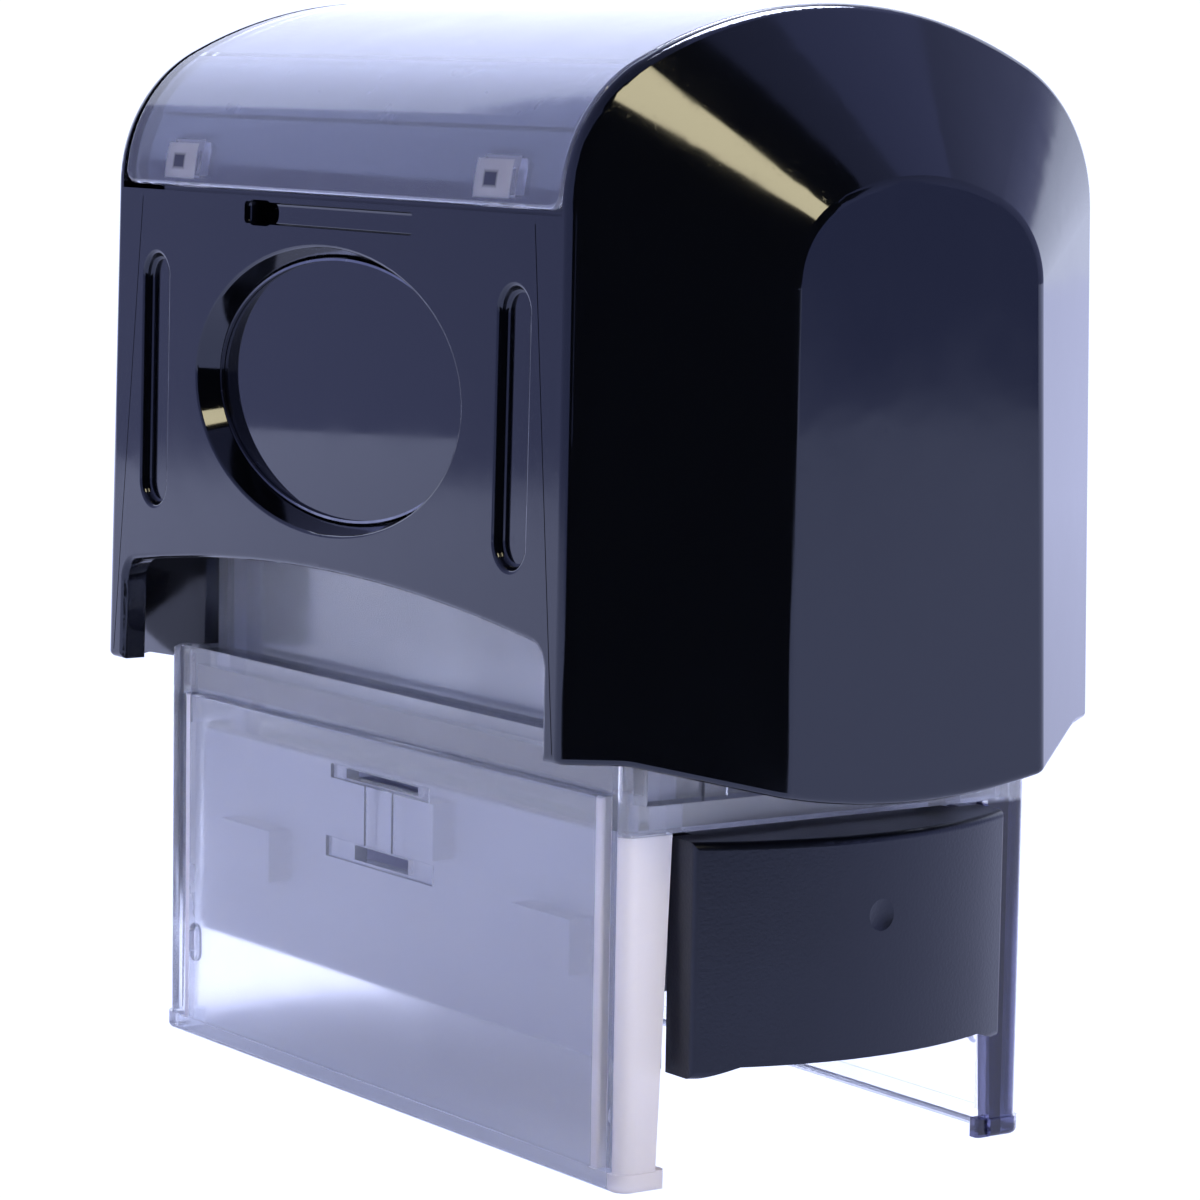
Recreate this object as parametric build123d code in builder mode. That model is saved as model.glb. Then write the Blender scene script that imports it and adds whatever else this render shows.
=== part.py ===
from build123d import *
import os
from math import atan2, cos, degrees, radians, sin, sqrt, tan

os.makedirs("parts", exist_ok=True)

# Self-inking hand stamp: a clear base frame, a black cap that is pushed down on it, a text plate
# that turns over on the way down, and an ink cassette that slides out of the right-hand end.
# Millimetres. The base stands on z = 0, centred on the origin, with +X towards the cassette's grip.

# ---- driving dimensions ----
HEIGHT = 90.0             # crown of the lid above the floor, cap up
BASE_L = 70.4             # base length, along X
BASE_D = 39.8             # base depth, along Y
CAP_L = 69.4              # cap length across its front corners, at the lower edge
CAP_D = 51.5              # cap depth at the lower edge
DRAFT = 0.77              # draft of the cap's walls, in degrees
WALL = 2.2                # cap wall
PLATE_L = 56.0            # rubber text plate
PLATE_W = 18.0
PLATE_REACH = 4.0         # from the turning axis to the rubber's face
TRAVEL = 13.85            # push of the cap, from rest to printing
PAD_FACE = 23.85          # underside of the ink pad

# ---- cap form ----
CAP_FOOT = 33.4           # lower edge of the cap at its corners
CHEEK_CORNER = 31.4       # lower edge at the end panels' corners
CHEEK_FOOT = 30.05        # lower edge at the middle of the end panels
CHEEK_CORNER_Y = 12.8
CORNER_FLAT_Y = 21.4      # the lower edge is level outside this
LID_EDGE = 74.3           # lower edge of the lid
CROWN_R = 40.0
SHOULDER_R = 12.5
PANEL_X = 45.9            # end panel's plane where it would meet z = 0
PANEL_DRAFT = 1.35
PANEL_W = 12.9            # half width of the end panel where it would meet z = 0
PANEL_TOP_W = 11.7        # half width of the end panel at its shoulders
PANEL_TOP = 77.0
PANEL_CROWN_R = 18.0
PANEL_SHOULDER_R = 7.0
PANEL_INSET = 0.8         # how much smaller the end panels are inside
CORNER_INSET = 1.1        # cap's inner corners, inside its outer ones
EDGE_R = 1.2              # rounding of the cap's edges
FOOT_R = 0.5              # rounding of its lower edge
FOOT_BEND = 3.0           # soft bends in the run of the lower edge
ARCH_X = 32.2             # half width of the arch in the long walls
ARCH_SIDE = 41.9
ARCH_TOP = 44.4
ARCH_R = 2.0
ARCH_SPLAY = 0.5          # the arch's legs open downwards by this
NEAR = 0.1                # tolerance for picking edges by their place

# ---- details of the cap's long walls ----
SLOT_Z = 72.6             # shallow slot under the lid, with a hole at one end
SLOT_L = 25.6
SLOT_W = 1.8
SLOT_DEPTH = 0.6
SLOT_R = 0.4
SLOT_FLOOR_R = 0.3        # rounding round the slot's floor
HOLE_X = 10.3
HOLE_L = 4.1
HOLE_W = 2.1
GRIP_X = 27.3             # upright finger grooves
GRIP_Z = 57.9
GRIP_L = 21.2
GRIP_W = 4.0
GRIP_DEPTH = 0.82
GRIP_FLOOR_R = 0.4        # rounding round the groove's floor
GRIP_MOUTH_R = 0.38       # rounding of its mouth
SEAM_X = 31.8             # fine leaning lines near the walls' corners, at their middle
SEAM_Z = 53.7
SEAM_L = 39.4
SEAM_LEAN = 5.8           # in degrees
SEAM_W = 0.1
SEAM_DEPTH = 0.04
RIB_X = 25.0              # inner ribs
RIB_FOOT = 49.0
RIB_H = 20.0
RIB_T = 1.2
RIB_INNER_Y = 17.0

# ---- lid, card and the deck under them ----
LID_X = 33.1              # half length of the lid
LID_T = 1.4
LID_GAP = 0.35            # shadow gap under the lid's lower edge
LID_SIDE_GAP = 0.2        # gap between the lid's ends and the cap
LID_CORNER_R = 1.4
SEAT_CLEAR = 3.0          # the lid's seat is cut this far beyond the outer form
DECK_INSET = 2.0          # deck surface below the outer form
DECK_T = 1.8
DECK_FOOT = 70.5          # lower edges of the deck
CARD_T = 0.28
CARD_GAP = 0.02           # between the card and the deck
CARD_X = 31.0
CARD_EDGE = 80.0          # height of the card's lower edges
CLIP_X = 23.7             # snap hooks of the lid
CLIP_W = 4.9
CLIP_FOOT = 75.2
CLIP_H = 2.6
CLIP_DEPTH = 1.1
CLIP_GAP = 0.3
CLIP_ARM = 0.8            # arms and cross bar of a hook
CLIP_ROOT = 0.2           # how far a hook runs into the lid

# ---- oval badge in the front and rear walls ----
OVAL_A = 20.25
OVAL_B = 11.5
OVAL_Z = 58.8
OVAL_FLARE = 0.9          # the pocket's mouth is wider than its floor by this all round
CUP_DEPTH = 4.15          # from the wall's face to the cup's inner side
CUP_T = 1.2
POCKET = 2.95             # depth of the oval pocket, with the disc's place
RING_DEPTH = 1.75         # from the wall's face to the trim ring
RING_T = 0.2
BADGE_T = 0.9
MOUTH_R = 0.25            # rounding of the pocket's mouth
FIT = 0.05                # gap round a piece that is pressed or clipped in

# ---- base frame ----
BASE_R = 1.4
RIM_R = 0.5               # roundings of the base's lower rim and of its shelf
SHELF_R = 0.6
SHELF = 34.1              # top of the base's front and rear bands
LINTEL = 29.7             # top of the end lintels
LINTEL_Y = 17.8           # half width of the cut above them
LINTEL_CUT = 10.0
END_TOP = 27.5            # top of the end openings
END_HALF = 16.5           # half width of the end openings at their foot
END_TOP_HALF = 15.4       # and at their top
BASE_WALL = 1.5
BASE_END = 33.6           # inner half length between the corner posts
TOWER_X = 33.0            # guide tower, outside half sizes
TOWER_Y = 16.2
TOWER_TOP = 54.0
TOWER_WALL = 1.4
TOWER_DECK = 1.6
TOWER_R = 1.0
TOWER_RIB_Y = 10.2        # ribs on the tower's ends
TOWER_RIB_W = 2.2
TOWER_RIB_H = 0.4
PANEL_EDGE = 31.9         # half width of the raised panel
PANEL_Z = 30.2            # top of that panel
GROOVE_W = 1.7
GROOVE_DEPTH = 0.8
PANEL_R = 0.3
LIP = 1.5                 # height of the foot lip
LIP_STEP = 0.2
FOOT_Y = 15.4             # inner side of the feet under the corner posts
FOOT_STEP = 0.4           # the feet stand back from the base's outline by this
POST_ROOT = 0.5           # how far the feet run into the posts
LATCH_STEP = 0.3          # depth of the wide recess round each latch slot
LATCHES = (               # height, recess width and height, slot width and height
    (26.7, 15.0, 1.2, 11.0, 0.8),
    (20.3, 16.4, 1.7, 8.2, 1.2),
)
TONGUE_X = 2.1            # fine lines either side of the tongue between the latch slots
TONGUE_LINE = 0.25
MARK_X = 30.1             # small obround dimple near each panel's lower left corner
MARK_Z = 8.3
MARK_L = 3.4
MARK_W = 1.8
MARK_DEPTH = 0.6

# ---- guide plates and cassette ----
GUIDE_Y = 14.7            # inner faces of the two guide plates
GUIDE_T = 1.4
GUIDE_X = 33.1
GUIDE_FOOT = 8.9
GUIDE_TOP = 26.7
RAIL_Y = 11.8
RAIL_Z = 23.9
RAIL_T = 1.3
PAD_X = 22.6              # spacer pads between guide plate and wall
PAD_W = 8.2
PAD_FOOT = 15.4
PAD_TOP = 19.8
BLOCK_W = 14.4            # block between the latch slots
BLOCK_FOOT = 21.3
BLOCK_TOP = 25.9
TRAY_FIT = 0.1            # gap round the felt
TRAY_Y = 12.6
TRAY_END = 33.0
TRAY_BOTTOM = 24.0
TRAY_TOP = 27.0
TONGUE_L = 2.0            # how far the tray reaches into the grip
FELT_X = 29.4
FELT_Y = 11.3
FELT_T = 2.0
COVER_X = 37.5            # end cover at its side edges
COVER_BULGE = 3.75        # how far its middle stands out beyond them
COVER_ROOT = 34.2         # inner ends of its side walls
COVER_Y = 15.1
COVER_FOOT = 9.8
COVER_TOP = 27.1
COVER_T = 1.6
COVER_EDGE_R = 0.6
FLARE = 0.9               # the cover's lower corners reach down by this
FLARE_TIP = 0.6           # and keep that depth over this width
FLARE_W = 3.5
BEARING = 1.0             # bosses of the left cover against the corner posts
DIMPLE_Z = 20.8
DIMPLE_R = 4.0
DIMPLE_DEPTH = 0.2

# ---- drive yoke and carriage ----
AXIS_Z = PLATE_REACH + TRAVEL        # turning axis, cap up
YOKE_X = 29.0             # inner faces of the yoke's end plates
YOKE_T = 2.2
YOKE_GAP = 0.4            # room for the yoke in the slots it passes through
YOKE_Y = 14.4
YOKE_FOOT = 14.4
WINDOW_Y = 12.9           # half width of the window that the cassette passes through
WINDOW_FOOT = 22.5
WINDOW_TOP = 42.0
UPPER_WINDOW_Y = 9.36     # lightening window above the cassette's
UPPER_WINDOW_H = 26.0
UPPER_WINDOW_Z = 60.0
UPPER_WINDOW_R = 2.0
BRIDGE_Z = 76.0
BRIDGE_T = 2.5
BRIDGE_Y = 8.0
PIN_R = 1.5
PIN_L = 5.2
PIN_R_END = 0.3           # rounding of a pin's outer end
PIN_SINK = 0.3            # a pin's socket is deeper than the pin by this
RUNNING = 0.05            # radial clearance of the pins in the yoke
CARRIAGE_X = 28.7
CARRIAGE_Y = 9.3
RUBBER_T = 1.4
CUSHION_T = 0.7
CARRIAGE_BACK = 2.6       # from the turning axis to the carriage's back
CARRIAGE_R = 0.8
COFFER_PITCH_X = 11.6     # coffers in the carriage's back
COFFER_PITCH_Y = 8.4
COFFER_RIB = 1.2
COFFER_R = 0.6
COFFER_DEPTH = 3.0
BOSS_X = 9.0              # screws that hold the yoke in the cap
BOSS_R = 3.2
SCREW_R = 1.3
SCREW_HEAD_R = 2.6
SCREW_HEAD_T = 1.6
SCREW_L = 7.0
SCREW_HEAD_EDGE = 0.6
CROSS_L = 2.8             # cross recess of the screws
CROSS_W = 0.6
CROSS_DEPTH = 0.8
SCREW_PLAY = 0.2          # the bridge's holes are wider than the screws by this
BOSS_ROOT = 1.0           # how far the bosses run into the deck

# ---- return springs ----
SPRING_X = 20.0
SPRING_R = 3.9            # mean radius
SPRING_GAP = 0.1          # between a spring's ends and its seats
WIRE_R = 0.45
TURNS = 7
SEAT_R = 2.7              # posts that centre the springs
SEAT_H = 5.0
SEAT_ROOT = 0.5


def half_depth(z):
    """Half depth of the cap's outer form at height z."""
    return CAP_D / 2 - tan(radians(DRAFT)) * (z - CAP_FOOT)


CAP_SHOULDER = half_depth(LID_EDGE)
FRONT_FACE = Plane(origin=(0, -half_depth(OVAL_Z), OVAL_Z), x_dir=(1, 0, 0),
                   z_dir=(0, -cos(radians(DRAFT)), sin(radians(DRAFT))))
REAR_FACE = Plane(origin=(0, half_depth(OVAL_Z), OVAL_Z), x_dir=(-1, 0, 0),
                  z_dir=(0, cos(radians(DRAFT)), sin(radians(DRAFT))))

# The badge planes stand upright where the drafted faces cross the oval's middle
FRONT_BADGE = Plane(origin=FRONT_FACE.origin, x_dir=(1, 0, 0), z_dir=(0, -1, 0))
REAR_BADGE = Plane(origin=REAR_FACE.origin, x_dir=(-1, 0, 0), z_dir=(0, 1, 0))


def end_half(z):
    """Half width of the base's end openings at height z."""
    return END_HALF - (END_HALF - END_TOP_HALF) * z / END_TOP


def end_plane(x, draft):
    """Upright plane that faces +X, leans inwards by the draft and crosses z = 0 at x."""
    return Plane(origin=(x, 0, 0), x_dir=(0, 1, 0), z_dir=(cos(radians(draft)), 0, sin(radians(draft))))


def tombstone(foot_w, shoulder_w, top, crown_r, shoulder_r):
    """Outline with nearly upright sides and a bowed top, in the sketch's own plane."""
    crown_z = top - crown_r
    bend_y = shoulder_w - shoulder_r
    bend_z = crown_z + sqrt((crown_r - shoulder_r) ** 2 - bend_y ** 2)
    turn = degrees(atan2(bend_z - crown_z, bend_y))
    with BuildSketch() as outline:
        with BuildLine():
            Polyline((-shoulder_w, bend_z), (-foot_w, 0), (foot_w, 0), (shoulder_w, bend_z))
            CenterArc((bend_y, bend_z), shoulder_r, 0, turn)
            CenterArc((0, crown_z), crown_r, turn, 180 - 2 * turn)
            CenterArc((-bend_y, bend_z), shoulder_r, 180 - turn, turn)
        make_face()
    return outline.sketch_local


def crown_profile(inset):
    """The cap's outline across its middle, moved inwards by the inset."""
    return tombstone(half_depth(0) - inset, CAP_SHOULDER - inset, HEIGHT - inset,
                     CROWN_R - inset, SHOULDER_R - inset)


def cap_form(corner_x, body_inset, panel_x, panel_inset):
    """Solid cap form, cheeks included, from z = 0 up: lofted to the right and mirrored."""
    corner_plane = end_plane(corner_x, DRAFT)
    with BuildPart() as form:
        with BuildSketch(Plane.YZ):
            add(crown_profile(body_inset))
        with BuildSketch(corner_plane):
            add(crown_profile(body_inset))
        loft(ruled=True)
        with BuildSketch(corner_plane):
            add(crown_profile(body_inset))
        with BuildSketch(end_plane(panel_x, PANEL_DRAFT)):
            add(tombstone(PANEL_W - panel_inset, PANEL_TOP_W - panel_inset, PANEL_TOP - panel_inset,
                          PANEL_CROWN_R - panel_inset, PANEL_SHOULDER_R - panel_inset))
        loft(ruled=True)
        mirror(about=Plane.YZ)
    return form.part


def arch_sheet(outer_inset, inner_inset, half_length, foot):
    """Arched sheet between two insets of the crown, above the height foot."""
    with BuildPart() as sheet:
        with BuildSketch(Plane.YZ):
            add(crown_profile(outer_inset))
            add(crown_profile(inner_inset), mode=Mode.SUBTRACT)
        extrude(amount=half_length, both=True)
        with BuildSketch(Plane.XY):
            Rectangle(4 * half_length, 2 * CAP_D)
        extrude(amount=foot, mode=Mode.SUBTRACT)
    return sheet.part


def finish(part, name):
    """Label a finished piece and write it."""
    part.label = name
    export_step(part, f"parts/{name}.step")


# ---- cap shell ----
corner_x = CAP_L / 2 + tan(radians(DRAFT)) * CAP_FOOT
outer_form = cap_form(corner_x, 0, PANEL_X, 0)
inner_form = cap_form(corner_x - CORNER_INSET, WALL, PANEL_X - WALL, PANEL_INSET)
with BuildPart() as cap_shell:
    add(outer_form)
    outer_edges = cap_shell.edges().filter_by(lambda e: abs(e.center().X) > LID_X)
    outer_edges = outer_edges.filter_by(lambda e: e.center().Z > CAP_FOOT / 2)
    fillet(outer_edges, radius=EDGE_R)
    # lower edge: level at the corners, lower and bowed across the end panels
    with BuildSketch(Plane.YZ):
        with BuildLine():
            Polyline((CHEEK_CORNER_Y, CHEEK_CORNER), (CORNER_FLAT_Y, CAP_FOOT), (CAP_D, CAP_FOOT),
                     (CAP_D, -1), (-CAP_D, -1),
                     (-CAP_D, CAP_FOOT), (-CORNER_FLAT_Y, CAP_FOOT), (-CHEEK_CORNER_Y, CHEEK_CORNER))
            ThreePointArc((-CHEEK_CORNER_Y, CHEEK_CORNER), (0, CHEEK_FOOT), (CHEEK_CORNER_Y, CHEEK_CORNER))
        make_face()
        fillet(vertices().filter_by(lambda v: 0 < v.Y and abs(v.X) < CAP_D / 2), radius=FOOT_BEND)
    extrude(amount=2 * PANEL_X, both=True, mode=Mode.SUBTRACT)
    # wide arch in the lower edge of the long walls
    with BuildSketch(Plane.XZ):
        with BuildLine():
            Polyline((ARCH_X, ARCH_SIDE), (ARCH_X + ARCH_SPLAY, 0),
                     (-ARCH_X - ARCH_SPLAY, 0), (-ARCH_X, ARCH_SIDE))
            ThreePointArc((-ARCH_X, ARCH_SIDE), (0, ARCH_TOP), (ARCH_X, ARCH_SIDE))
        make_face()
        fillet(vertices().filter_by(lambda v: v.Y > ARCH_SIDE / 2), radius=ARCH_R)
    extrude(amount=CAP_D, both=True, mode=Mode.SUBTRACT)
    low_edges = cap_shell.edges().filter_by(lambda e: e.center().Z < ARCH_TOP + NEAR)
    low_edges = low_edges.filter_by(
        lambda e: abs(e.center().X) > ARCH_X + ARCH_SPLAY or e.center().Z > CAP_FOOT)
    fillet(low_edges.filter_by(Axis.X, reverse=True).filter_by(Axis.Y, reverse=True), radius=FOOT_R)
    # inside of the cap, seat of the lid, and the deck under it
    add(inner_form, mode=Mode.SUBTRACT)
    lid_seat = arch_sheet(-SEAT_CLEAR, DECK_INSET, LID_X + LID_SIDE_GAP, LID_EDGE - LID_GAP)
    add(lid_seat, mode=Mode.SUBTRACT)
    add(arch_sheet(DECK_INSET, DECK_INSET + DECK_T, CAP_L / 2, DECK_FOOT))
    # pockets for the lid's hooks, open upwards so that the lid lifts straight off
    with BuildSketch(Plane.XY.offset(CLIP_FOOT - CLIP_GAP)):
        with GridLocations(2 * CLIP_X, 2 * CAP_SHOULDER, 2, 2):
            Rectangle(CLIP_W + 2 * CLIP_GAP, 2 * (LID_T + CLIP_DEPTH + CLIP_GAP))
    extrude(amount=CARD_EDGE - CLIP_FOOT, mode=Mode.SUBTRACT)
    for face, badge_plane in ((FRONT_FACE, FRONT_BADGE), (REAR_FACE, REAR_BADGE)):
        # cup with the flared oval pocket, its mouth slightly rounded, and the disc's place
        with BuildSketch(face.offset(-WALL / 2)):
            Ellipse(OVAL_A + CUP_T, OVAL_B + CUP_T)
        extrude(amount=WALL / 2 - CUP_DEPTH)
        flare_at_edge = OVAL_FLARE * EDGE_R / (POCKET - BADGE_T)
        with BuildSketch(face.offset(EDGE_R)):
            Ellipse(OVAL_A + flare_at_edge, OVAL_B + flare_at_edge)
        with BuildSketch(badge_plane.offset(BADGE_T - POCKET)):
            Ellipse(OVAL_A - OVAL_FLARE, OVAL_B - OVAL_FLARE)
        loft(mode=Mode.SUBTRACT)
        fillet(cap_shell.edges(Select.LAST).filter_by(lambda e: face.to_local_coords(e.center()).Z > -NEAR),
               radius=MOUTH_R)
        with BuildSketch(badge_plane.offset(-POCKET)):
            Ellipse(OVAL_A - OVAL_FLARE, OVAL_B - OVAL_FLARE)
        extrude(amount=BADGE_T, mode=Mode.SUBTRACT)
        # finger grooves with a flat floor, rounded at the mouth and round the floor
        with BuildSketch(face.offset(EDGE_R)):
            with Locations((-GRIP_X, GRIP_Z - OVAL_Z), (GRIP_X, GRIP_Z - OVAL_Z)):
                SlotOverall(GRIP_L, GRIP_W, rotation=90)
        extrude(amount=-GRIP_DEPTH - EDGE_R, mode=Mode.SUBTRACT)
        groove_edges = cap_shell.edges(Select.LAST)
        fillet(groove_edges.filter_by(lambda e: face.to_local_coords(e.center()).Z < NEAR - GRIP_DEPTH),
               radius=GRIP_FLOOR_R)
        mouth_edges = cap_shell.edges().filter_by(
            lambda e: abs(abs(face.to_local_coords(e.center()).X) - GRIP_X) < GRIP_W / 2 + NEAR
            and abs(face.to_local_coords(e.center()).Z) < NEAR
            and abs(face.to_local_coords(e.center()).Y - GRIP_Z + OVAL_Z) < GRIP_L / 2 + NEAR)
        fillet(mouth_edges, radius=GRIP_MOUTH_R)
        # fine lines that set the corner strips off from the wall
        with BuildSketch(face.offset(EDGE_R)):
            for side in (-1, 1):
                with Locations((side * SEAM_X, SEAM_Z - OVAL_Z)):
                    Rectangle(SEAM_W, SEAM_L, rotation=side * SEAM_LEAN)
        extrude(amount=-SEAM_DEPTH - EDGE_R, mode=Mode.SUBTRACT)
        # shallow slot with a hole at one end
        with BuildSketch(face.offset(EDGE_R)):
            with Locations((0, SLOT_Z - OVAL_Z)):
                RectangleRounded(SLOT_L, SLOT_W, SLOT_R)
        extrude(amount=-SLOT_DEPTH - EDGE_R, mode=Mode.SUBTRACT)
        slot_edges = cap_shell.edges(Select.LAST)
        fillet(slot_edges.filter_by(lambda e: face.to_local_coords(e.center()).Z < NEAR - SLOT_DEPTH),
               radius=SLOT_FLOOR_R)
        with BuildSketch(face.offset(EDGE_R)):
            with Locations((-HOLE_X, SLOT_Z - OVAL_Z)):
                SlotOverall(HOLE_L, HOLE_W)
        extrude(amount=-2 * WALL - DECK_T - EDGE_R, mode=Mode.SUBTRACT)
    # bosses for the yoke's screws, from the crown down to the yoke's bridge
    with BuildSketch(Plane.XY.offset(BRIDGE_Z + BRIDGE_T)):
        with GridLocations(2 * BOSS_X, 0, 2, 1):
            Circle(BOSS_R)
            Circle(SCREW_R, mode=Mode.SUBTRACT)
    extrude(amount=HEIGHT - DECK_INSET - BOSS_ROOT - BRIDGE_Z - BRIDGE_T)
    # stiffening ribs inside the long walls
    rib_depth = half_depth(RIB_FOOT) - WALL / 2 - RIB_INNER_Y
    with BuildSketch(Plane.XY.offset(RIB_FOOT)):
        with GridLocations(2 * RIB_X, 2 * RIB_INNER_Y + rib_depth, 2, 2):
            Rectangle(RIB_T, rib_depth)
    extrude(amount=RIB_H)
finish(cap_shell.part, "cap_shell")

# ---- oval trim rings and badge discs, in the pockets ----
disc_a = OVAL_A - OVAL_FLARE - FIT
disc_b = OVAL_B - OVAL_FLARE - FIT
for badge_plane, side in ((FRONT_BADGE, "front"), (REAR_BADGE, "rear")):
    with BuildPart() as trim_ring:
        with BuildSketch(badge_plane.offset(-RING_DEPTH)):
            Ellipse(disc_a, disc_b)
            Ellipse(disc_a - RING_T, disc_b - RING_T, mode=Mode.SUBTRACT)
        extrude(amount=RING_DEPTH + BADGE_T + FIT - POCKET)
    finish(trim_ring.part, f"trim_ring_{side}")
    with BuildPart() as badge:
        with BuildSketch(badge_plane.offset(-POCKET)):
            Ellipse(disc_a, disc_b)
        extrude(amount=BADGE_T)
    finish(badge.part, f"badge_disc_{side}")

# ---- lid: clear arched sheet with four hooks inside its lower edges ----
with BuildPart() as lid:
    add(arch_sheet(0, LID_T, LID_X, LID_EDGE))
    fillet(lid.edges().filter_by(Axis.Y).group_by(Axis.Z)[0], radius=LID_CORNER_R)
    outer_rim = lid.edges().filter_by(lambda e: abs(e.center().Y) > CAP_SHOULDER - LID_T / 3)
    fillet(outer_rim.filter_by(lambda e: e.center().Z < LID_EDGE + 2 * LID_CORNER_R), radius=LID_T / 3)
    clip_y = CAP_SHOULDER - LID_T - CLIP_DEPTH / 2 + CLIP_ROOT
    clip_d = CLIP_DEPTH + 2 * CLIP_ROOT
    with BuildSketch(Plane.XY.offset(CLIP_FOOT)):
        with GridLocations(2 * CLIP_X, 2 * clip_y, 2, 2):
            Rectangle(CLIP_W, clip_d)
            Rectangle(CLIP_W - 2 * CLIP_ARM, 2 * clip_d, mode=Mode.SUBTRACT)
    extrude(amount=CLIP_H)
    with BuildSketch(Plane.XY.offset(CLIP_FOOT + CLIP_H - CLIP_ARM)):
        with GridLocations(2 * CLIP_X, 2 * clip_y, 2, 2):
            Rectangle(CLIP_W, clip_d)
    extrude(amount=CLIP_ARM)
finish(lid.part, "lid")

# ---- index card, bent over the deck under the lid ----
finish(arch_sheet(DECK_INSET - CARD_GAP - CARD_T, DECK_INSET - CARD_GAP, CARD_X, CARD_EDGE), "index_card")

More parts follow.
